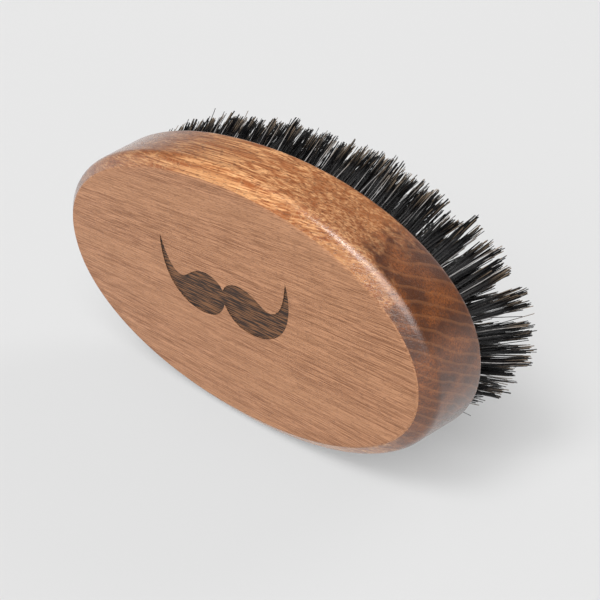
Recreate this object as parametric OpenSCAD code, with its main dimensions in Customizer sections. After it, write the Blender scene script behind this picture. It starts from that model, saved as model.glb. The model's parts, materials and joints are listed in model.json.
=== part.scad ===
// Beard brush: an oval wooden block with a bevelled back, drilled on its other face with blind holes.
// Each hole holds a folded tuft of bristle and the flat metal anchor that the tuft is folded round.
// The brush stands as it rests on a table, on its long side wall: +X along the oval, +Z up, bristles
// towards +Y, back face towards -Y. The wall slopes, so the back leans over the table. Millimetres.
// The sub-parts are drawn flat first: +X along the oval, +Y across it, and +Z out of the back face,
// with the bristle face at z = 0. The module standing() then stands them up.

/* [Wooden block] */
// Length of the block along the oval, at the bristle face
block_length = 115; // [105:0.5:124]
// Width of the block across the oval, at the bristle face
block_width = 63; // [60:0.5:68]
// Thickness from the bristle face to the flat back face
block_thickness = 13.5; // [13.4:0.1:16]
// Height of the side wall above the bristle face, up to where the ridge begins
wall_height = 10.4; // [9.8:0.1:10.6]
// Inward slope of the side wall, which is also the lean of the standing brush
wall_slope = 6.5; // [6:0.1:8]
// Radius of the rounded ridge between the side wall and the bevel
ridge_radius = 2.5; // [1.6:0.1:2.8]
// Slope of the bevel, measured from the block's axis
bevel_angle = 56; // [45:1:60]
// Fullness of the oval, where 2 is a true ellipse
oval_power = 2.1; // [2.04:0.02:2.3]

/* [Tuft layout] */
// Distance from the block's edge to the border row of holes
border_inset = 9; // [8.5:0.1:9.5]
// Spacing of the holes along the border row
border_pitch = 3.2; // [3.2:0.1:4.5]
// Spacing of the columns inside the border
column_pitch = 3.6; // [3.6:0.1:4.5]
// Smallest spacing of the holes along a column
hole_pitch = 3.4; // [3.4:0.1:4.5]
// Outward spread of the tufts at the long edges, as a slope
side_spread = 0.63; // [0.45:0.01:0.66]
// Outward spread of the tufts at the two ends, as a slope
end_spread = 0.93; // [0.6:0.01:0.95]

/* [Tufts and anchors] */
// Diameter of the blind holes
hole_diameter = 2.1; // [1.9:0.05:2.1]
// Depth of the blind holes along their own axis
hole_depth = 4.2; // [3.8:0.1:4.2]
// Diameter of a tuft at its tip
tip_diameter = 2.6; // [2.2:0.1:2.6]
// Height of the bristle tips above the block at the border
border_height = 12.2; // [11:0.1:13]
// Height of the bristle tips above the block at the centre
centre_height = 12.8; // [11:0.1:14]
// Thickness of the metal anchor strip
anchor_thickness = 0.3; // [0.25:0.05:0.4]
// Width of the metal anchor strip, along the hole
anchor_width = 1.2; // [1:0.1:1.4]

/* [Hidden] */
$fn = 32;
outline_sides = 96;
half_length = block_length / 2;
half_width = block_width / 2;
ridge_steps = 4; // flat bands that make up the ridge's arc
rim_band = 0.8; // height of the upright band along the edge of the bristle face
tuft_play = 0.05; // gap between a tuft or an anchor and the wood round it
root_gap = 0.1; // gap between the fold of a tuft and the bottom of its hole
tip_bevel = 0.4; // edge taken off the tip of a tuft
anchor_seat = 0.7; // height of an anchor above the bottom of its hole
drill_run_out = 2; // length of the drill that stays outside the wood

hole_r = hole_diameter / 2;
tuft_r = hole_r - tuft_play;
tip_r = tip_diameter / 2;
anchor_length = hole_diameter - 2 * tuft_play;

// Half sizes of the oval that the border row lies on
border_a = half_length - border_inset;
border_b = half_width - border_inset;

// The side wall narrows from the rim band up to the ridge, whose arc turns from wall to bevel
wall_inset = (wall_height - rim_band) * tan(wall_slope);
ridge_turns = [
    for (k = [0 : ridge_steps]) wall_slope + (bevel_angle - wall_slope) * k / ridge_steps
];
ridge = [
    for (turn = ridge_turns)
        [
            wall_inset + ridge_radius * (cos(wall_slope) - cos(turn)),
            wall_height + ridge_radius * (sin(turn) - sin(wall_slope))
        ]
];
ridge_end = ridge[ridge_steps];
face_inset = ridge_end[0] + (block_thickness - ridge_end[1]) * tan(bevel_angle);

// Each level of the block above the rim band, as [inset from the outline, height]
levels = concat([[0, rim_band]], ridge, [[face_inset, block_thickness]]);

function signed_power(v, p) = sign(v) * pow(abs(v), p);

// Point on an oval of half sizes a and b, at angle t
function oval_point(a, b, t) = [
    a * signed_power(cos(t), 2 / oval_power),
    b * signed_power(sin(t), 2 / oval_power)
];

// Outward unit direction of the family of ovals at point p
function outward(p, a, b) =
    let (g = [
        signed_power(p[0] / a, oval_power - 1) / a,
        signed_power(p[1] / b, oval_power - 1) / b
    ])
    norm(g) > 0 ? g / norm(g) : [0, 0];

// Distance of p from the centre, where 1 is on the border row
function reach(p) = pow(
    pow(abs(p[0]) / border_a, oval_power) + pow(abs(p[1]) / border_b, oval_power),
    1 / oval_power
);

// Outline of the block moved inwards by an inset, with a flat side at the middle of each long edge
function outline(inset) = [
    for (i = [0 : outline_sides - 1])
        let (p = oval_point(half_length, half_width, (i + 0.5) * 360 / outline_sides))
        p - inset * outward(p, half_length, half_width)
];

// Border row: equal steps along the oval, found from its length up to each angle
border_steps = 360;
function border_point(t) = oval_point(border_a, border_b, t);
length_to_angle = [
    for (
        i = 0, run = 0;
        i <= border_steps;
        run = run + norm(border_point((i + 1) * 360 / border_steps)
            - border_point(i * 360 / border_steps)),
        i = i + 1
    )
    [run, i * 360 / border_steps]
];
border_run = length_to_angle[border_steps][0];
border_count = 2 * floor(border_run / border_pitch / 2);
border_holes = [
    for (i = [0 : border_count - 1])
        border_point(lookup((i + 0.5) * border_run / border_count, length_to_angle))
];

// Columns inside the border: each shares its holes out evenly across the oval
inner_a = border_a - column_pitch;
inner_b = border_b - hole_pitch;
column_count = 2 * floor(inner_a / column_pitch) + 1;
function column_x(c) = (c - (column_count + 1) / 2) * column_pitch;
function column_reach(c) =
    inner_b * pow(1 - pow(abs(column_x(c)) / inner_a, oval_power), 1 / oval_power);
function column_holes(c) =
    let (gaps = max(1, floor(2 * column_reach(c) / hole_pitch)))
    [for (i = [0 : gaps]) [column_x(c), column_reach(c) * (2 * i / gaps - 1)]];

all_holes = concat(border_holes, [for (c = [1 : column_count]) each column_holes(c)]);

// Height of the tips above the bristle face
function tuft_height(p) =
    centre_height + (border_height - centre_height) * pow(min(reach(p), 1), 2);

// Outward slope of a tuft, which grows from the centre to the border
function slope(p) =
    let (side = outward(p, border_a, border_b)[0])
    reach(p) * (side_spread + (end_spread - side_spread) * side * side);

// Vector from the mouth of a hole to the middle of the tuft's tip
function tuft_axis(p) =
    let (out = outward(p, border_a, border_b) * slope(p) * tuft_height(p))
    [out[0], out[1], -tuft_height(p)];

// Where the standing brush sits: it is lifted on to the table and centred front to back
lift = half_width * cos(wall_slope) + rim_band * sin(wall_slope);
front = -(half_width - face_inset) * sin(wall_slope) - block_thickness * cos(wall_slope);
function back_reach(p) =
    let (axis = tuft_axis(p),
        tip_y = -(p[1] + axis[1]) * sin(wall_slope) - axis[2] * cos(wall_slope),
        along = (-axis[1] * sin(wall_slope) - axis[2] * cos(wall_slope)) / norm(axis))
    tip_y + (tip_r - tip_bevel) * sqrt(1 - along * along);
back = max([for (p = all_holes) back_reach(p)]);

function two_digits(n) = str(n < 10 ? "0" : "", n);

// Stands a flat-drawn sub-part on its long side wall
module standing() {
    translate([0, -(front + back) / 2, lift])
    rotate([90 + wall_slope, 0, 0])
    children();
}

// Puts its children at the mouth of the hole at p, with +Z along the tuft
module at_hole(p) {
    axis = tuft_axis(p);
    polar = acos(axis[2] / norm(axis));
    azimuth = atan2(axis[1], axis[0]);
    translate([p[0], p[1], 0])
    rotate([0, 0, azimuth])
    rotate([0, polar, 0])
    rotate([0, 0, -azimuth])
    children();
}

// The block above its rim band: the side wall, the rounded ridge, the bevel and the flat back face
module block_body() {
    last = len(levels) - 1;
    points = [
        for (level = levels)
            for (p = outline(level[0])) [p[0], p[1], level[1]]
    ];
    bottom = [for (i = [0 : outline_sides - 1]) i];
    top = [for (i = [0 : outline_sides - 1]) last * outline_sides + outline_sides - 1 - i];
    bands = [
        for (k = [0 : last - 1])
            for (i = [0 : outline_sides - 1])
                let (j = (i + 1) % outline_sides, base = k * outline_sides)
                [base + i, base + outline_sides + i, base + outline_sides + j, base + j]
    ];
    polyhedron(points, concat([bottom, top], bands), convexity = 2);
}

module tuft_hole(p) {
    at_hole(p)
    translate([0, 0, -hole_depth])
    cylinder(r = hole_r, h = hole_depth + drill_run_out);
}

module handle_block() {
    color("peru")
    standing()
    difference() {
        union() {
            linear_extrude(rim_band) polygon(outline(0));
            block_body();
        }
        for (p = all_holes) tuft_hole(p);
    }
}

// Flat strip across the hole, which the tuft is folded round
module anchor_strip(play) {
    translate([0, 0, anchor_seat - hole_depth + anchor_width / 2])
    cube([anchor_length + 2 * play, anchor_thickness + 2 * play, anchor_width + 2 * play],
        center = true);
}

// One tuft: a root as thick as its hole, spreading towards the tip
module tuft(p) {
    tuft_length = norm(tuft_axis(p));
    at_hole(p)
    difference() {
        rotate_extrude()
        polygon([
            [0, root_gap - hole_depth],
            [tuft_r, root_gap - hole_depth],
            [tuft_r, 0],
            [tip_r, tuft_length - tip_bevel],
            [tip_r - tip_bevel, tuft_length],
            [0, tuft_length]
        ]);
        anchor_strip(tuft_play);
    }
}

module tufts(holes) {
    color("#1c1a1b")
    standing()
    for (p = holes) tuft(p);
}

module anchors(holes) {
    color("silver")
    standing()
    for (p = holes) at_hole(p) anchor_strip(0);
}

module border_tufts() {
    tufts(border_holes);
}

module border_anchors() {
    anchors(border_holes);
}

module tuft_column(c) {
    tufts(column_holes(c));
}

module anchor_column(c) {
    anchors(column_holes(c));
}

handle_block();
border_tufts();
border_anchors();
for (c = [1 : column_count]) {
    tuft_column(c);
    anchor_column(c);
}
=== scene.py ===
"""Looks of the beard brush: a stained and lacquered oval block with a burnt-in moustache motif, and
bristle tufts made hair by hair. Lengths are in metres. The block's own frame has its origin at the
middle of the bristle face, +X along the oval, +Y across it and +Z towards the flat back. Pieces are
worked out in that frame and then moved to where the block stands."""

import json
import math

import bmesh
import bpy
import numpy as np
from mathutils import Matrix, Vector


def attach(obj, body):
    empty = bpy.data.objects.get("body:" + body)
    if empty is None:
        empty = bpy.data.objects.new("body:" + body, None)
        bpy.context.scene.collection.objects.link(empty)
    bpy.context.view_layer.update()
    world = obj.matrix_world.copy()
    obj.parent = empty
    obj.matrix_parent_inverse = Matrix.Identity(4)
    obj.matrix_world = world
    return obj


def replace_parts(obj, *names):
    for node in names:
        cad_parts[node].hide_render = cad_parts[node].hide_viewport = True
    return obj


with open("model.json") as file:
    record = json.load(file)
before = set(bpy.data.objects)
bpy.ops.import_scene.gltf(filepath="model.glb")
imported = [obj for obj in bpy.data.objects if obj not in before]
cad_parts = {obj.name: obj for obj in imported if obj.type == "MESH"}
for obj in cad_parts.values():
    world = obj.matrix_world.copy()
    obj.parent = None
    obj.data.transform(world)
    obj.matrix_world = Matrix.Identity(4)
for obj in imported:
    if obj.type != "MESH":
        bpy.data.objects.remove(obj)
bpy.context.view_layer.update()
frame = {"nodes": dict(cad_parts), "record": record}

MM = 0.001
SEED = 20

# Reading the CAD. The section is read in a thin slice at the middle, from the points that are further
# across than this share of the half width. Points of one solid are merged on a grid of a micrometre.
SECTION_SLICE = 3 * MM
LONG_EDGE = 0.8
SAME_HEIGHT = 0.01 * MM
MICRONS_PER_METRE = 1e6
ROOT_SLICE = 0.2 * MM
TIP_SLICE = 1 * MM

# Block
OVAL_POWER = 2.1
OUTLINE_POINTS = 288
RIM_ROUNDING = 0.7 * MM
FACE_ROUNDING = 0.3 * MM
FLAT_REACH = 3 * MM
EDGE_STEPS = 5
RIDGE_STEPS = 12
HOLE_SIDES = 20
HOLE_PLAY = 0.05 * MM
HOLE_SPARE_DEPTH = 0.1 * MM

# Material slots of the block
SLOT_DRILLED, SLOT_SIDE, SLOT_BACK, SLOT_BURNT = range(4)

# Engraved motif on the flat back; the curl starts at this share of each half's length
MOTIF_CENTRE = (4 * MM, 2 * MM)
MOTIF_HALF_WIDTH = 22 * MM
MOTIF_DEPTH = 0.3 * MM
MOTIF_STEPS = 34
CURL_START = 0.62

# Wood figure. The rings wander by RING_WANDER of their widths. The bevel's figure comes in between two
# heights. Painted shade darkens the sides most to the left of DARK_LEFT and is gone at PALE_MIDDLE.
HEART_OF_TREE = (0, -102 * MM, 78 * MM)
RING_WIDTH = 1.9 * MM
RING_WANDER = 3.0
BEVEL_FOOT, BEVEL_TOP = 9.6 * MM, 11.4 * MM
DARK_LEFT, PALE_MIDDLE = -16 * MM, 6 * MM

# End grain, by distance from the middle: it comes in slowly, up to a share, over the first range, as a
# broad darkening that is partly painted shade, and takes over in the second one. Its border is ragged,
# and lies further out on the bevel.
SLOW_END_GRAIN_AND_SHADE = (12 * MM, 34 * MM)
END_GRAIN_FAST = (33.5 * MM, 43 * MM)
SLOW_END_GRAIN_AND_SHADE_SHARE = 0.42
END_GRAIN_RAGGED = 3.5 * MM
END_GRAIN_ON_BEVEL = 6 * MM

# One bristle: a tube with a folded-away root, a bow and a tapered tip
BRISTLE_RADIUS = 0.12 * MM
THINNEST, THICKEST = 0.75, 1.15
TIP_TAPER = 0.7
BRISTLE_SIDES = 4
BRISTLE_STEPS = 4
BRISTLE_BOW = 0.1 * MM
ROOT_DEPTH = 2.2 * MM
ROOT_MARGIN = 1.2
FLOOR_CLEARANCE = 0.3 * MM

# One tuft: its tips are gathered into clumps, apart from a few stray ones. The splay is how much
# wider than the plain tuft the tips spread, and the scatters are standard deviations.
BRISTLES_PER_TUFT = 74
CLUMPS_PER_TUFT = 8
BORDER_SPLAY = 1.15
INNER_SPLAY = 2.0
SPREAD_OF_TIPS = 0.6
SPREAD_OF_CLUMPS = 0.85
TUFT_SCATTER = 0.3 * MM
TIP_SCATTER = 0.22 * MM
STRAY_SHARE = 0.07
STRAY_SCATTER = 1.1 * MM
CLUMP_BOW = 0.22 * MM

# Lengths of the bristles, and how they are trimmed towards the left end and across the brush
LONGEST = 1.01
SHORTENING = 0.085
TUFT_LENGTH_SCATTER = 0.4 * MM
CLUMP_LENGTH_SCATTER = 0.45 * MM
TRIM_AT_LEFT = 8.5 * MM
TRIM_REACH = 50 * MM
TRIM_POWER = 2.5
TRIM_ACROSS = 0.04

# Studio: the floor's own light, and the surround's at the horizon and from SKY_HEIGHT upwards, which
# is a share of the way to straight up
FLOOR_HALF_SIZE = 4.0
FLOOR_GLOW = 0.2
HORIZON_GLOW, SKY_GLOW = 0.79, 0.1
SKY_HEIGHT = 0.36

# Camera: where it looks from, how far its aim is from the middle of the bristle face, and its focal
# length in millimetres on a sensor of that width
VIEW_AZIMUTH = math.radians(44.3)
VIEW_ELEVATION = math.radians(25.2)
VIEW_DISTANCE = 177.7 * MM
AIM_RIGHT = 9.1 * MM
AIM_UP = -5.4 * MM
LENS = 48.3
SENSOR_WIDTH = 36


# ---------------------------------------------------------------- frame of the block


def block_frame():
    """The block's own frame as a matrix, and the block's CAD vertices in that frame."""
    back = frame["record"]["mounts"][0]
    normal = Vector(back["axis"]).normalized()
    along = Vector((1, 0, 0))
    across = normal.cross(along)
    turn = Matrix((along, across, normal)).transposed().to_4x4()
    at_back = Matrix.Translation(Vector(back["pos_m"])) @ turn
    points = local_points("handle_block", at_back.inverted())
    thickness = -points[:, 2].min()
    at_face = at_back @ Matrix.Translation((0, 0, -thickness))
    return at_face, points + np.array((0, 0, thickness))


def local_points(node, to_local):
    """A CAD node's vertices, moved by a matrix."""
    mesh = frame["nodes"][node].data
    flat = np.zeros(len(mesh.vertices) * 3)
    mesh.vertices.foreach_get("co", flat)
    turn = np.array(to_local)
    return flat.reshape(-1, 3) @ turn[:3, :3].T + turn[:3, 3]


def section_of(points):
    """The block's section as [inset, height], read at the middle of its upper long edge."""
    half_width = points[:, 1].max()
    in_slice = np.abs(points[:, 0]) < SECTION_SLICE
    near = points[in_slice & (points[:, 1] > LONG_EDGE * half_width)]
    section = []
    for z in np.unique(np.round(near[:, 2], 6)):
        at_z = near[np.abs(near[:, 2] - z) < SAME_HEIGHT]
        section.append((half_width - at_z[:, 1].max(), z))
    return section


# ---------------------------------------------------------------- tufts, measured on the CAD


def islands(node, to_local):
    """The vertices of each separate solid in a CAD node, in the block's own frame."""
    mesh = frame["nodes"][node].data
    points = local_points(node, to_local)
    edges = np.zeros(len(mesh.edges) * 2, int)
    mesh.edges.foreach_get("vertices", edges)
    on_grid = np.round(points * MICRONS_PER_METRE).astype(int)
    _, merged = np.unique(on_grid, axis=0, return_inverse=True)
    ends = merged.ravel()[edges.reshape(-1, 2)]
    # Each point takes the lowest label among its neighbours, until no label changes
    label = np.arange(merged.max() + 1)
    while True:
        lowest = label.copy()
        joined = np.minimum(label[ends[:, 0]], label[ends[:, 1]])
        np.minimum.at(lowest, ends[:, 0], joined)
        np.minimum.at(lowest, ends[:, 1], joined)
        lowest = lowest[lowest]
        if (lowest == label).all():
            break
        label = lowest
    owner = label[merged.ravel()]
    return [points[owner == k] for k in np.unique(owner)]


def measure_tuft(points):
    """Mouth, direction, lengths and radii of one tuft from the vertices of its solid."""
    # The solid's long axis, pointing out of the bristle face
    centre = points.mean(0)
    direction = np.linalg.svd(points - centre, full_matrices=False)[2][0]
    direction = direction * -np.sign(direction[2])
    mouth = centre - direction * centre[2] / direction[2]
    along = (points - mouth) @ direction
    off_axis = np.linalg.norm(points - mouth - along[:, None] * direction, axis=1)
    return {
        "mouth": mouth,
        "direction": direction,
        "depth": -along.min(),
        "length": along.max(),
        "root_radius": off_axis[along < along.min() + ROOT_SLICE].max(),
        "tip_radius": off_axis[along > along.max() - TIP_SLICE].max(),
    }


def side_directions(direction):
    """Two unit directions at right angles to each other and to a tuft."""
    first = np.cross(direction, (0.0, 1.0, 0.0))
    first /= np.linalg.norm(first)
    return first, np.cross(direction, first)


# ---------------------------------------------------------------- block


def outline(half_length, half_width, inset):
    """The block's outline moved inwards by an inset."""
    turn = (np.arange(OUTLINE_POINTS) + 0.5) * 2 * math.pi / OUTLINE_POINTS
    cos, sin = np.cos(turn), np.sin(turn)
    x = half_length * np.sign(cos) * np.abs(cos) ** (2 / OVAL_POWER)
    y = half_width * np.sign(sin) * np.abs(sin) ** (2 / OVAL_POWER)
    out_x = np.sign(cos) * np.abs(x / half_length) ** (OVAL_POWER - 1) / half_length
    out_y = np.sign(sin) * np.abs(y / half_width) ** (OVAL_POWER - 1) / half_width
    size = np.hypot(out_x, out_y)
    return np.column_stack((x - inset * out_x / size, y - inset * out_y / size))


def rounded(before, corner, after, tangent, steps):
    """Points of an arc that rounds a corner and starts and ends at that distance from it."""
    corner = Vector(corner)
    start = corner + (Vector(before) - corner).normalized() * tangent
    end = corner + (Vector(after) - corner).normalized() * tangent
    # With this weight the rational curve through the three points is part of a circle
    weight = math.cos((math.pi - (start - corner).angle(end - corner)) / 2)
    arc = []
    for k in range(steps + 1):
        t = k / steps
        a, b, c = (1 - t) ** 2, 2 * t * (1 - t) * weight, t * t
        arc.append((start * a + corner * b + end * c) / (a + b + c))
    return arc


def smooth_section(section):
    """The section from the back face to the bristle face, with its edges and ridge rounded."""
    rim, band, wall = (Vector(p) for p in section[:3])
    bevel, face = (Vector(p) for p in section[-2:])
    ridge = corner_of(band, wall, face, bevel)
    inner = Vector((face.x + FLAT_REACH, face.y))
    under = Vector((rim.x + FLAT_REACH, rim.y))
    return (
        rounded(inner, face, ridge, FACE_ROUNDING, EDGE_STEPS)
        + rounded(face, ridge, band, (wall - ridge).length, RIDGE_STEPS)
        + [band]
        + rounded(band, rim, under, RIM_ROUNDING, EDGE_STEPS)
    )


def corner_of(a, b, c, d):
    """Where the line from a through b meets the line from c through d."""
    first, second = b - a, d - c
    cross = first.x * second.y - first.y * second.x
    gap = c - a
    return a + first * ((gap.x * second.y - gap.y * second.x) / cross)


def motif_outline():
    """Outline of a curled moustache: a spine with a swelling width on the right, mirrored left."""
    # s runs from the middle, where the halves meet, to the tip of the curl
    spine, half = [], []
    for k in range(MOTIF_STEPS + 1):
        s = k / MOTIF_STEPS
        curl = max(0.0, (s - CURL_START) / (1 - CURL_START))
        rise = 0.1 * math.cos(3.6 * s) - 0.1 + 0.62 * s ** 4
        swell = 0.075 + 0.17 * math.sin(math.pi * s ** 0.62) ** 1.2 * (1 - s ** 2)
        point = (1 - s ** 5) ** 0.8
        spine.append((MOTIF_HALF_WIDTH * (s - 0.13 * curl ** 3), MOTIF_HALF_WIDTH * rise))
        half.append(MOTIF_HALF_WIDTH * swell * point)
    spine, half = np.array(spine), np.array(half)
    tangent = np.gradient(spine, axis=0)
    tangent[0] = (1, 0)
    tangent /= np.linalg.norm(tangent, axis=1)[:, None]
    normal = np.column_stack((-tangent[:, 1], tangent[:, 0]))
    upper = spine + normal * half[:, None]
    lower = spine - normal * half[:, None]
    right = np.vstack((lower, upper[-2::-1]))
    left = right[-2:0:-1] * (-1, 1)
    return np.vstack((right, left)) + MOTIF_CENTRE


def ring_of(bm, points):
    """Vertices of a closed ring and the edges between them."""
    corners = [bm.verts.new(p) for p in points]
    edges = [bm.edges.new((a, b)) for a, b in zip(corners, corners[1:] + corners[:1])]
    return corners, edges


def bridge(bm, first, second, smooth):
    """Faces between two rings of the same number of vertices."""
    count = len(first)
    made = []
    for k in range(count):
        face = bm.faces.new((first[k], second[k], second[(k + 1) % count], first[(k + 1) % count]))
        face.smooth = smooth
        made.append(face)
    return made


def fill(bm, edges, normal):
    """Flat faces inside the outermost of these rings, leaving out what the others enclose."""
    found = bmesh.ops.triangle_fill(bm, use_beauty=True, edges=edges, normal=normal)
    return [g for g in found["geom"] if isinstance(g, bmesh.types.BMFace)]


def at_height(flat_points, z):
    """Flat points lifted to a height."""
    return [(x, y, z) for x, y in flat_points]


def build_block(to_world, points, tufts):
    """The wooden block, with its drilled holes and its engraved motif."""
    half_length, half_width = points[:, 0].max(), points[:, 1].max()
    section = smooth_section(section_of(points))
    bm = bmesh.new()

    rings = [
        ring_of(bm, at_height(outline(half_length, half_width, inset), z))
        for inset, z in section
    ]
    for step, ((upper, _), (lower, _)) in enumerate(zip(rings, rings[1:])):
        for face in bridge(bm, upper, lower, True):
            face.material_index = SLOT_BACK if step < EDGE_STEPS else SLOT_SIDE

    back_z = section[0][1]
    motif = motif_outline()
    mouth, mouth_edges = ring_of(bm, at_height(motif, back_z))
    floor, floor_edges = ring_of(bm, at_height(motif, back_z - MOTIF_DEPTH))
    for face in fill(bm, rings[0][1] + mouth_edges, (0, 0, 1)):
        face.material_index = SLOT_BACK
    burnt = bridge(bm, mouth, floor, False) + fill(bm, floor_edges, (0, 0, 1))
    for face in burnt:
        face.material_index = SLOT_BURNT

    hole_edges, bare = [], []
    for tuft in tufts:
        mouth_ring, bottom_ring = hole_rings(tuft)
        mouth, edges = ring_of(bm, mouth_ring)
        bottom, _ = ring_of(bm, bottom_ring)
        hole_edges += edges
        bare += bridge(bm, mouth, bottom, False)
        bare.append(bm.faces.new(bottom))
    bare += fill(bm, rings[-1][1] + hole_edges, (0, 0, -1))
    for face in bare:
        face.material_index = SLOT_DRILLED

    bmesh.ops.recalc_face_normals(bm, faces=bm.faces)
    bm.transform(to_world)
    mesh = bpy.data.meshes.new("wooden_block")
    bm.to_mesh(mesh)
    bm.free()
    block = bpy.data.objects.new("wooden_block", mesh)
    bpy.context.scene.collection.objects.link(block)
    return block


def hole_rings(tuft):
    """Rings of points at the mouth and at the bottom of a tuft's blind hole."""
    radius = tuft["root_radius"] + HOLE_PLAY
    depth = tuft["depth"] + HOLE_SPARE_DEPTH
    first, second = side_directions(tuft["direction"])
    bottom, mouth = [], []
    for k in range(HOLE_SIDES):
        turn = 2 * math.pi * k / HOLE_SIDES
        offset = radius * (math.cos(turn) * first + math.sin(turn) * second)
        low = tuft["mouth"] - depth * tuft["direction"] + offset
        bottom.append(low)
        mouth.append(low - tuft["direction"] * low[2] / tuft["direction"][2])
    return mouth, bottom


# ---------------------------------------------------------------- bristles


def trim_at(mouth):
    """How much longer the bristles of the tuft at this mouth are than the plain tuft."""
    leftwards = min(0.0, mouth[0]) / TRIM_REACH
    return TRIM_ACROSS * mouth[1] - TRIM_AT_LEFT * abs(leftwards) ** TRIM_POWER


def in_disc(count, rng):
    """Points spread evenly over the unit disc."""
    turn = rng.random(count) * 2 * math.pi
    return np.column_stack((np.cos(turn), np.sin(turn))) * np.sqrt(rng.random(count))[:, None]


def bristle_curves(tuft, splay, rng, below_floor):
    """Centre points of a tuft's bristles, as an array of bristle, step and coordinate."""
    count = BRISTLES_PER_TUFT
    first, second = side_directions(tuft["direction"])
    spot = in_disc(count, rng)
    clump_spot = in_disc(CLUMPS_PER_TUFT, rng)
    clump = np.linalg.norm(spot[:, None] - clump_spot, axis=2).argmin(1)
    root = spot * (tuft["root_radius"] - ROOT_MARGIN * BRISTLE_RADIUS)
    tip = SPREAD_OF_TIPS * spot + SPREAD_OF_CLUMPS * clump_spot[clump]
    tip *= tuft["tip_radius"] * splay
    tip += rng.normal(0, TUFT_SCATTER, 2) + rng.normal(0, TIP_SCATTER, (count, 2))
    stray = rng.random(count) < STRAY_SHARE
    tip[stray] += rng.normal(0, STRAY_SCATTER, (int(stray.sum()), 2))
    bow = rng.normal(0, BRISTLE_BOW, (count, 2))
    bow += rng.normal(0, CLUMP_BOW, (CLUMPS_PER_TUFT, 2))[clump]
    length = tuft["length"] * (LONGEST - np.abs(rng.normal(0, SHORTENING, count)))
    length += rng.normal(0, TUFT_LENGTH_SCATTER)
    length += rng.normal(0, CLUMP_LENGTH_SCATTER, CLUMPS_PER_TUFT)[clump]
    length += trim_at(tuft["mouth"])

    # The first point is in the hole, the second at its mouth and the last at the bristle's tip
    curves = np.zeros((count, BRISTLE_STEPS + 1, 3))
    for k in range(BRISTLE_STEPS + 1):
        along = -ROOT_DEPTH if k == 0 else length * (k - 1) / (BRISTLE_STEPS - 1)
        t = max(0, k - 1) / (BRISTLE_STEPS - 1)
        side = root * (1 - t) + tip * t + bow * 4 * t * (1 - t)
        curves[:, k] = (
            tuft["mouth"]
            + np.outer(np.broadcast_to(along, count), tuft["direction"])
            + side[:, :1] * first
            + side[:, 1:] * second
        )
    curves[:, :, 1] += np.maximum(0, below_floor(curves))
    return curves


def tubes(curves, rng):
    """Vertices and faces of tapered tubes along these curves, and for each vertex a shade that its
    bristle has at random and its share of the bristle's length."""
    count, rings, _ = curves.shape
    axis = curves[:, -1] - curves[:, 0]
    axis /= np.linalg.norm(axis, axis=1)[:, None]
    first = np.cross(axis, (0.0, 1.0, 0.0))
    first /= np.linalg.norm(first, axis=1)[:, None]
    second = np.cross(axis, first)
    turn = 2 * math.pi * np.arange(BRISTLE_SIDES) / BRISTLE_SIDES
    start = rng.random(count) * 2 * math.pi
    angle = start[:, None] + turn
    cos, sin = np.cos(angle)[..., None], np.sin(angle)[..., None]
    around = cos * first[:, None] + sin * second[:, None]
    thickness = BRISTLE_RADIUS * rng.uniform(THINNEST, THICKEST, count)
    taper = np.linspace(1.0, TIP_TAPER, rings)
    radius = thickness[:, None] * taper
    points = curves[:, :, None] + radius[..., None, None] * around[:, None]
    points = points.reshape(-1, 3)

    ring = np.arange(BRISTLE_SIDES)
    after = (ring + 1) % BRISTLE_SIDES
    quads = np.stack((ring, after, after + BRISTLE_SIDES, ring + BRISTLE_SIDES), axis=1)
    quads = (np.arange(rings - 1)[:, None, None] * BRISTLE_SIDES + quads).reshape(-1, 4)
    last = (rings - 1) * BRISTLE_SIDES
    caps = np.array([ring[::-1], last + ring])
    one = np.vstack((quads, caps))
    faces = (np.arange(count)[:, None, None] * rings * BRISTLE_SIDES + one).reshape(-1, 4)

    shade = np.repeat(rng.random(count), rings * BRISTLE_SIDES)
    share = np.tile(np.repeat(np.linspace(0, 1, rings), BRISTLE_SIDES), count)
    return points, faces, shade, share


def build_bristles(node, to_world, tufts, rng):
    """One piece with every bristle of the tufts in a CAD node."""
    turn = np.array(to_world)

    def below_floor(curves):
        """How far across the brush each point must move to clear the table."""
        heights = curves @ turn[2, :3] + turn[2, 3]
        return (FLOOR_CLEARANCE - heights) / turn[2, 1]

    splay = BORDER_SPLAY if node.startswith("border") else INNER_SPLAY
    curves = np.concatenate([bristle_curves(t, splay, rng, below_floor) for t in tufts])
    points, faces, shade, share = tubes(curves, rng)
    name = node.replace("tuft", "bristle")
    mesh = bpy.data.meshes.new(name)
    mesh.from_pydata(points @ turn[:3, :3].T + turn[:3, 3], [], faces.tolist())
    mesh.shade_smooth()
    for attribute, values in (("bristle_shade", shade), ("bristle_share", share)):
        made = mesh.attributes.new(attribute, "FLOAT", "POINT")
        made.data.foreach_set("value", values.astype(np.float32))
    bristles = bpy.data.objects.new(name, mesh)
    bpy.context.scene.collection.objects.link(bristles)
    return bristles


# ---------------------------------------------------------------- shader nodes


def add(tree, kind, inputs=None, **settings):
    """A shader node of that kind, with its settings and with values or links on its inputs."""
    made = tree.nodes.new("ShaderNode" + kind)
    for name, value in settings.items():
        setattr(made, name, value)
    for name, value in (inputs or {}).items():
        socket = made.inputs[name]
        if isinstance(value, bpy.types.NodeSocket):
            tree.links.new(value, socket)
        else:
            socket.default_value = value
    return made


def math_of(tree, operation, a, b=0.0):
    """The result of a Math node."""
    return add(tree, "Math", {0: a, 1: b}, operation=operation).outputs[0]


def spread(tree, value, low, high, to_low=0.0, to_high=1.0):
    """A value brought from the range low to high into another one, and kept inside it."""
    inputs = {0: value, 1: low, 2: high, 3: to_low, 4: to_high}
    return add(tree, "MapRange", inputs).outputs[0]


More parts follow.
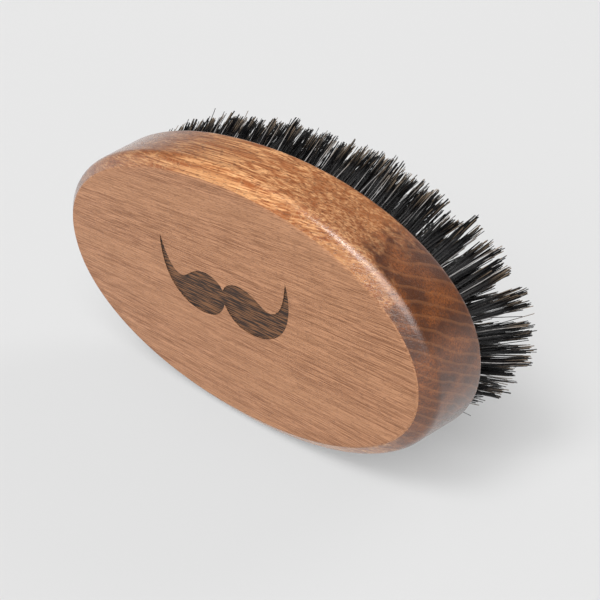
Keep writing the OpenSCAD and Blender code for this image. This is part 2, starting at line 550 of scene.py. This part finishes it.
def mix(tree, factor, a, b):
    """Two colours mixed by a factor. The numbers are the colour sockets of a Mix node."""
    node = add(tree, "Mix", data_type="RGBA")
    for index, value in ((0, factor), (6, a), (7, b)):
        if isinstance(value, bpy.types.NodeSocket):
            tree.links.new(value, node.inputs[index])
        else:
            node.inputs[index].default_value = value
    return node.outputs[2]


def grain(tree, place, size, detail=3.0, shift=0.0, distortion=0.0):
    """Noise with features of that size in mm along, across and through the block."""
    scale = [1 / (s * MM) for s in size]
    moved = add(tree, "Mapping", {"Vector": place, "Location": (shift,) * 3, "Scale": scale})
    inputs = {"Vector": moved.outputs[0], "Scale": 1.0}
    inputs.update({"Detail": detail, "Distortion": distortion})
    return add(tree, "TexNoise", inputs).outputs[0]


def colour(red, green, blue):
    """A colour given as sRGB bytes, as the linear values that a shader takes."""
    linear = [
        v / 255 / 12.92 if v <= 10 else ((v / 255 + 0.055) / 1.055) ** 2.4
        for v in (red, green, blue)
    ]
    return (*linear, 1.0)


def new_material(name):
    """An empty material with a Principled shader."""
    material = bpy.data.materials.new(name)
    material.use_nodes = True
    tree = material.node_tree
    tree.nodes.clear()
    shader = add(tree, "BsdfPrincipled")
    add(tree, "OutputMaterial", {"Surface": shader.outputs[0]})
    return material, tree, shader


# ---------------------------------------------------------------- materials


def block_place(tree, to_world):
    """Positions in the block's own frame, whose X follows the grain."""
    inputs = {
        "Vector": add(tree, "TexCoord").outputs["Object"],
        "Location": to_world.translation,
        "Rotation": to_world.to_euler(),
    }
    return add(tree, "Mapping", inputs, vector_type="TEXTURE").outputs[0]


def growth_rings(tree, place):
    """Rising tone across each growth ring; the heart of the tree lies beside the block."""
    heart = add(tree, "VectorMath", {0: place, 1: HEART_OF_TREE}, operation="SUBTRACT").outputs[0]
    split = add(tree, "SeparateXYZ", {0: heart})
    across = math_of(tree, "POWER", split.outputs["Y"], 2.0)
    through = math_of(tree, "POWER", split.outputs["Z"], 2.0)
    radius = math_of(tree, "SQRT", math_of(tree, "ADD", across, through))
    wander = grain(tree, place, (60, 16, 16), detail=3.0, shift=2.0)
    turns = math_of(tree, "DIVIDE", radius, RING_WIDTH)
    turns = math_of(tree, "ADD", turns, math_of(tree, "MULTIPLY", wander, RING_WANDER))
    return math_of(tree, "FRACT", turns)


def wood_figure(tree, to_world):
    """What all the wood shares: fine fibres, broad streaks, dark flecks and growth rings."""
    place = block_place(tree, to_world)
    fibres = grain(tree, place, (6.0, 0.12, 0.12), detail=3.0)
    streaks = grain(tree, place, (30, 1.1, 1.1), detail=3.0, shift=4.0)
    flecks = spread(tree, grain(tree, place, (1.3, 0.16, 0.3), detail=1.0, shift=9.0), 0.57, 0.66)
    return place, fibres, streaks, flecks, growth_rings(tree, place)


def end_grain_and_shade_share(tree, place, on_bevel):
    """From 0 at the long sides, cut along the grain, to 1 at the two ends, with a ragged border; its
    slow first rise is partly painted shade.
    """
    reach = math_of(tree, "ABSOLUTE", add(tree, "SeparateXYZ", {0: place}).outputs["X"])
    ragged = grain(tree, place, (5, 1.2, 1.2), detail=3.0, shift=12.0)
    ragged = spread(tree, ragged, 0.3, 0.7, -END_GRAIN_RAGGED, END_GRAIN_RAGGED)
    outwards = math_of(tree, "MULTIPLY", on_bevel, END_GRAIN_ON_BEVEL)
    reach = math_of(tree, "SUBTRACT", math_of(tree, "ADD", reach, ragged), outwards)
    # The slow rise is partly end grain and partly painted shade
    slow = spread(tree, reach, *SLOW_END_GRAIN_AND_SHADE, 0.0, SLOW_END_GRAIN_AND_SHADE_SHARE)
    return math_of(tree, "MAXIMUM", slow, spread(tree, reach, *END_GRAIN_FAST))


def wood_bump(tree, shader, heights, distance, layer="Normal"):
    """Raises the shader's surface, or its lacquer, by these values."""
    bump = add(tree, "Bump", {"Height": heights, "Strength": 0.5, "Distance": distance})
    tree.links.new(bump.outputs[0], shader.inputs[layer])


def back_material(to_world):
    """Sanded and oiled wood of the flat back: pale brown, satin, with fine straight grain."""
    material, tree, shader = new_material("oiled_back")
    place, fibres, streaks, flecks, rings = wood_figure(tree, to_world)
    bands = grain(tree, place, (80, 3.5, 3.5), detail=2.0, shift=25.0)
    # Fibres, then a calmer tone in streaks and in broad bands, then faint rings and dark pores
    base = mix(tree, spread(tree, fibres, 0.39, 0.6), colour(120, 77, 48), colour(186, 135, 100))
    base = mix(tree, spread(tree, streaks, 0.36, 0.66, 0.0, 0.25), base, colour(176, 126, 92))
    base = mix(tree, spread(tree, bands, 0.42, 0.62, 0.0, 0.4), base, colour(183, 134, 98))
    base = mix(tree, spread(tree, rings, 0.5, 1.0, 0.0, 0.15), base, colour(122, 78, 50))
    base = mix(tree, math_of(tree, "MULTIPLY", flecks, 0.4), base, colour(98, 62, 42))
    tree.links.new(base, shader.inputs["Base Color"])
    tree.links.new(spread(tree, fibres, 0.2, 0.8, 0.6, 0.46), shader.inputs["Roughness"])
    shader.inputs["Specular IOR Level"].default_value = 0.35
    relief = math_of(tree, "SUBTRACT", fibres, math_of(tree, "MULTIPLY", flecks, 0.6))
    wood_bump(tree, shader, relief, 0.07 * MM)
    return material


def long_side_colour(tree, lines, streaks, cloud, curl, rings, on_bevel, left_end_painted_shade):
    """Wood cut along the grain: lines and streaks, with pale clouds and curls on the bevel, and
    painted shade towards the left end.
    """
    base = mix(tree, spread(tree, lines, 0.38, 0.62), colour(158, 90, 46), colour(244, 182, 126))
    base = mix(tree, spread(tree, streaks, 0.46, 0.62, 0.0, 0.7), base, colour(156, 86, 42))
    clouded = math_of(tree, "MULTIPLY", spread(tree, cloud, 0.5, 0.65, 0.0, 0.5), on_bevel)
    base = mix(tree, clouded, base, colour(222, 164, 110))
    curled = math_of(tree, "MULTIPLY", spread(tree, curl, 0.55, 0.7, 0.0, 0.4), on_bevel)
    base = mix(tree, curled, base, colour(236, 184, 130))
    base = mix(tree, spread(tree, rings, 0.66, 1.0, 0.0, 0.45), base, colour(124, 70, 36))
    # Painted shade: darker brown towards the left end
    return mix(tree, left_end_painted_shade, base, colour(110, 64, 34))


def end_grain_colour(tree, lines, cloud, pores, rings):
    """Wood cut across the grain: dark, with open pores and pale growth rings."""
    base = mix(tree, spread(tree, cloud, 0.38, 0.62), colour(84, 43, 18), colour(136, 76, 34))
    base = mix(tree, spread(tree, lines, 0.42, 0.6, 0.0, 0.5), base, colour(68, 37, 20))
    base = mix(tree, spread(tree, pores, 0.45, 0.6, 0.0, 0.55), base, colour(58, 31, 17))
    return mix(tree, spread(tree, rings, 0.7, 0.86, 0.0, 0.26), base, colour(160, 104, 62))


def side_material(to_world):
    """Lacquered wood of the bevel, ridge and side wall, darker where the grain ends, partly as painted
    shade towards the ends.
    """
    material, tree, shader = new_material("lacquered_side")
    place, fibres, streaks, flecks, rings = wood_figure(tree, to_world)
    lines = grain(tree, place, (16, 0.3, 0.3), detail=4.0, shift=15.0)
    cloud = grain(tree, place, (14, 4, 4), detail=2.0, shift=8.0)
    curl = grain(tree, place, (1.1, 3.2, 3.2), detail=3.0, shift=6.0, distortion=0.8)
    pores = grain(tree, place, (0.5, 0.3, 0.12), detail=2.0, shift=21.0)
    split = add(tree, "SeparateXYZ", {0: place})
    on_bevel = spread(tree, split.outputs["Z"], BEVEL_FOOT, BEVEL_TOP, 0.1, 1.0)
    # Painted shade, strongest to the left of DARK_LEFT
    left_end_painted_shade = spread(tree, split.outputs["X"], DARK_LEFT, PALE_MIDDLE, 0.4, 0.0)

    base = long_side_colour(tree, lines, streaks, cloud, curl, rings, on_bevel, left_end_painted_shade)
    ends = end_grain_colour(tree, lines, cloud, pores, rings)
    # End grain, and painted shade where the slow rise brings it in
    base = mix(tree, end_grain_and_shade_share(tree, place, on_bevel), base, ends)
    base = mix(tree, math_of(tree, "MULTIPLY", flecks, 0.5), base, colour(76, 42, 22))
    tree.links.new(base, shader.inputs["Base Color"])
    tree.links.new(spread(tree, fibres, 0.2, 0.8, 0.46, 0.34), shader.inputs["Roughness"])
    shader.inputs["Specular IOR Level"].default_value = 0.2
    shader.inputs["Coat Weight"].default_value = 1.0
    shader.inputs["Coat IOR"].default_value = 1.6
    shader.inputs["Coat Roughness"].default_value = 0.17
    relief = math_of(tree, "SUBTRACT", fibres, math_of(tree, "MULTIPLY", flecks, 0.5))
    wood_bump(tree, shader, relief, 0.09 * MM)
    wood_bump(tree, shader, relief, 0.05 * MM, "Coat Normal")
    return material


def burnt_material(to_world):
    """Floor of the engraving: charred dark brown, with the hard grain lines a little lighter."""
    material, tree, shader = new_material("burnt_wood")
    place, fibres, streaks, _, _ = wood_figure(tree, to_world)
    lines = grain(tree, place, (5, 0.26, 0.26), detail=3.0, shift=3.0)
    base = mix(tree, spread(tree, streaks, 0.3, 0.7), colour(30, 18, 12), colour(48, 29, 19))
    base = mix(tree, spread(tree, lines, 0.46, 0.58, 0.0, 0.85), base, colour(128, 86, 53))
    tree.links.new(base, shader.inputs["Base Color"])
    tree.links.new(spread(tree, fibres, 0.2, 0.8, 0.85, 0.7), shader.inputs["Roughness"])
    wood_bump(tree, shader, fibres, 0.12 * MM)
    return material


def drilled_material(to_world):
    """Bare wood of the bristle face and the holes: less stained, sanded dull."""
    material, tree, shader = new_material("drilled_face")
    _, fibres, streaks, flecks, _ = wood_figure(tree, to_world)
    base = mix(tree, spread(tree, fibres, 0.3, 0.7), colour(150, 98, 62), colour(188, 136, 96))
    base = mix(tree, math_of(tree, "MULTIPLY", flecks, 0.4), base, colour(112, 70, 44))
    tree.links.new(base, shader.inputs["Base Color"])
    tree.links.new(spread(tree, streaks, 0.2, 0.8, 0.7, 0.55), shader.inputs["Roughness"])
    wood_bump(tree, shader, fibres, 0.06 * MM)
    return material


def bristle_material():
    """Black boar bristle: glossy, some of it brown, some hairs paler towards the tip, and a few pale
    grey hairs all along as painted glints.
    """
    material, tree, shader = new_material("boar_bristle")
    shade = add(tree, "Attribute", attribute_name="bristle_shade").outputs["Fac"]
    share = add(tree, "Attribute", attribute_name="bristle_share").outputs["Fac"]
    place = add(tree, "TexCoord").outputs["Object"]
    mottle = grain(tree, place, (0.9, 0.9, 0.9), detail=2.0)
    # The higher its shade, the browner the hair; the highest few are pale grey all along, as painted
    # glints
    base = mix(tree, spread(tree, shade, 0.5, 0.85), colour(4, 4, 6), colour(24, 20, 20))
    base = mix(tree, spread(tree, shade, 0.94, 0.95, 0.0, 0.8), base, colour(184, 180, 178))
    pale = math_of(tree, "MULTIPLY", spread(tree, shade, 0.7, 0.78), spread(tree, share, 0.8, 1.0))
    base = mix(tree, math_of(tree, "MULTIPLY", pale, 0.75), base, colour(172, 150, 126))
    base = mix(tree, spread(tree, mottle, 0.35, 0.7, 0.0, 0.4), base, colour(7, 6, 8))
    tree.links.new(base, shader.inputs["Base Color"])
    tree.links.new(spread(tree, mottle, 0.3, 0.7, 0.22, 0.36), shader.inputs["Roughness"])
    shader.inputs["Specular IOR Level"].default_value = 0.3
    return material


def anchor_material():
    """Drawn metal strip: fine lines along it."""
    material, tree, shader = new_material("drawn_metal")
    place = add(tree, "TexCoord").outputs["Object"]
    lines = grain(tree, place, (4, 4, 0.05), detail=3.0)
    base = mix(tree, spread(tree, lines, 0.3, 0.7), colour(176, 176, 180), colour(206, 206, 208))
    tree.links.new(base, shader.inputs["Base Color"])
    tree.links.new(spread(tree, lines, 0.3, 0.7, 0.28, 0.44), shader.inputs["Roughness"])
    shader.inputs["Metallic"].default_value = 1.0
    return material


def floor_material():
    """Matt studio floor, lit a little from below like a light table, so that shadows stay pale."""
    material, tree, shader = new_material("studio_floor")
    place = add(tree, "TexCoord").outputs["Object"]
    tone = grain(tree, place, (900, 900, 900), detail=1.0)
    base = mix(tree, tone, (0.55, 0.55, 0.55, 1), (0.56, 0.56, 0.56, 1))
    tree.links.new(base, shader.inputs["Base Color"])
    shader.inputs["Roughness"].default_value = 1.0
    shader.inputs["Specular IOR Level"].default_value = 0.0
    shader.inputs["Emission Color"].default_value = (1.0, 1.0, 1.0, 1.0)
    shader.inputs["Emission Strength"].default_value = FLOOR_GLOW
    return material


# ---------------------------------------------------------------- studio


def build_floor():
    """A large pale floor under the brush."""
    bm = bmesh.new()
    bmesh.ops.create_grid(bm, x_segments=8, y_segments=8, size=FLOOR_HALF_SIZE)
    mesh = bpy.data.meshes.new("studio_floor")
    bm.to_mesh(mesh)
    bm.free()
    mesh.materials.append(floor_material())
    floor = bpy.data.objects.new("studio_floor", mesh)
    bpy.context.scene.collection.objects.link(floor)


def soft_light(name, towards, strength, width):
    """A distant softbox, with its width in degrees: its light is the same all over the floor."""
    lamp = bpy.data.lights.new(name, "SUN")
    lamp.energy = strength
    lamp.angle = math.radians(width)
    holder = bpy.data.objects.new(name, lamp)
    bpy.context.scene.collection.objects.link(holder)
    holder.rotation_mode = "QUATERNION"
    holder.rotation_quaternion = Vector(towards).to_track_quat("Z", "Y")


def light_studio():
    """A surround that is bright at the horizon, a broad key light from the right, a narrow one in
    front for the highlight on the ridge, a weak one overhead and a weak one behind for the rim."""
    world = bpy.data.worlds.new("studio")
    bpy.context.scene.world = world
    world.use_nodes = True
    tree = world.node_tree
    surround = tree.nodes["Background"]
    surround.inputs["Color"].default_value = (1.0, 1.0, 1.0, 1.0)
    towards = add(tree, "TexCoord").outputs["Generated"]
    height = add(tree, "SeparateXYZ", {0: towards}).outputs["Z"]
    glow = spread(tree, height, 0.0, SKY_HEIGHT, HORIZON_GLOW, SKY_GLOW)
    tree.links.new(glow, surround.inputs["Strength"])
    soft_light("key", (0.38, -0.66, 0.64), 3.0, 60)
    soft_light("front", (-0.04, -0.6, 0.79), 0.8, 20)
    soft_light("fill", (-0.1, -0.1, 0.9), 0.24, 60)
    soft_light("back", (0.2, 0.78, 0.58), 0.34, 30)
    bpy.context.scene.view_settings.view_transform = "Standard"


def place_camera(face_centre):
    """The camera, looking past the middle of the bristle face."""
    cos_a, sin_a = math.cos(VIEW_AZIMUTH), math.sin(VIEW_AZIMUTH)
    cos_e, sin_e = math.cos(VIEW_ELEVATION), math.sin(VIEW_ELEVATION)
    back = Vector((sin_a * cos_e, -cos_a * cos_e, sin_e))
    right = Vector((cos_a, sin_a, 0))
    up = back.cross(right)
    data = bpy.data.cameras.new("camera")
    data.lens = LENS
    data.sensor_width = SENSOR_WIDTH
    data.clip_start, data.clip_end = 0.01, 20
    camera = bpy.data.objects.new("camera", data)
    bpy.context.scene.collection.objects.link(camera)
    camera.matrix_world = Matrix((right, up, back)).transposed().to_4x4()
    camera.location = face_centre + back * VIEW_DISTANCE + right * AIM_RIGHT + up * AIM_UP
    bpy.context.scene.camera = camera


# ---------------------------------------------------------------- assembly

to_world, block_points = block_frame()
to_local = to_world.inverted()
rng = np.random.default_rng(SEED)

tuft_nodes = sorted(n for n in frame["nodes"] if "tuft" in n)
tufts = {n: [measure_tuft(p) for p in islands(n, to_local)] for n in tuft_nodes}

block = build_block(to_world, block_points, [t for n in tuft_nodes for t in tufts[n]])
for make_material in (drilled_material, side_material, back_material, burnt_material):
    block.data.materials.append(make_material(to_world))
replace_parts(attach(block, "root"), "handle_block")
# The photo's floor takes no colour from the wood
block.visible_diffuse = False

hair = bristle_material()
for node in tuft_nodes:
    bristles = build_bristles(node, to_world, tufts[node], rng)
    bristles.data.materials.append(hair)
    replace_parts(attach(bristles, "root"), node)

metal = anchor_material()
for node in sorted(n for n in frame["nodes"] if "anchor" in n):
    frame["nodes"][node].data.materials.clear()
    frame["nodes"][node].data.materials.append(metal)

build_floor()
light_studio()
place_camera(to_world.translation)
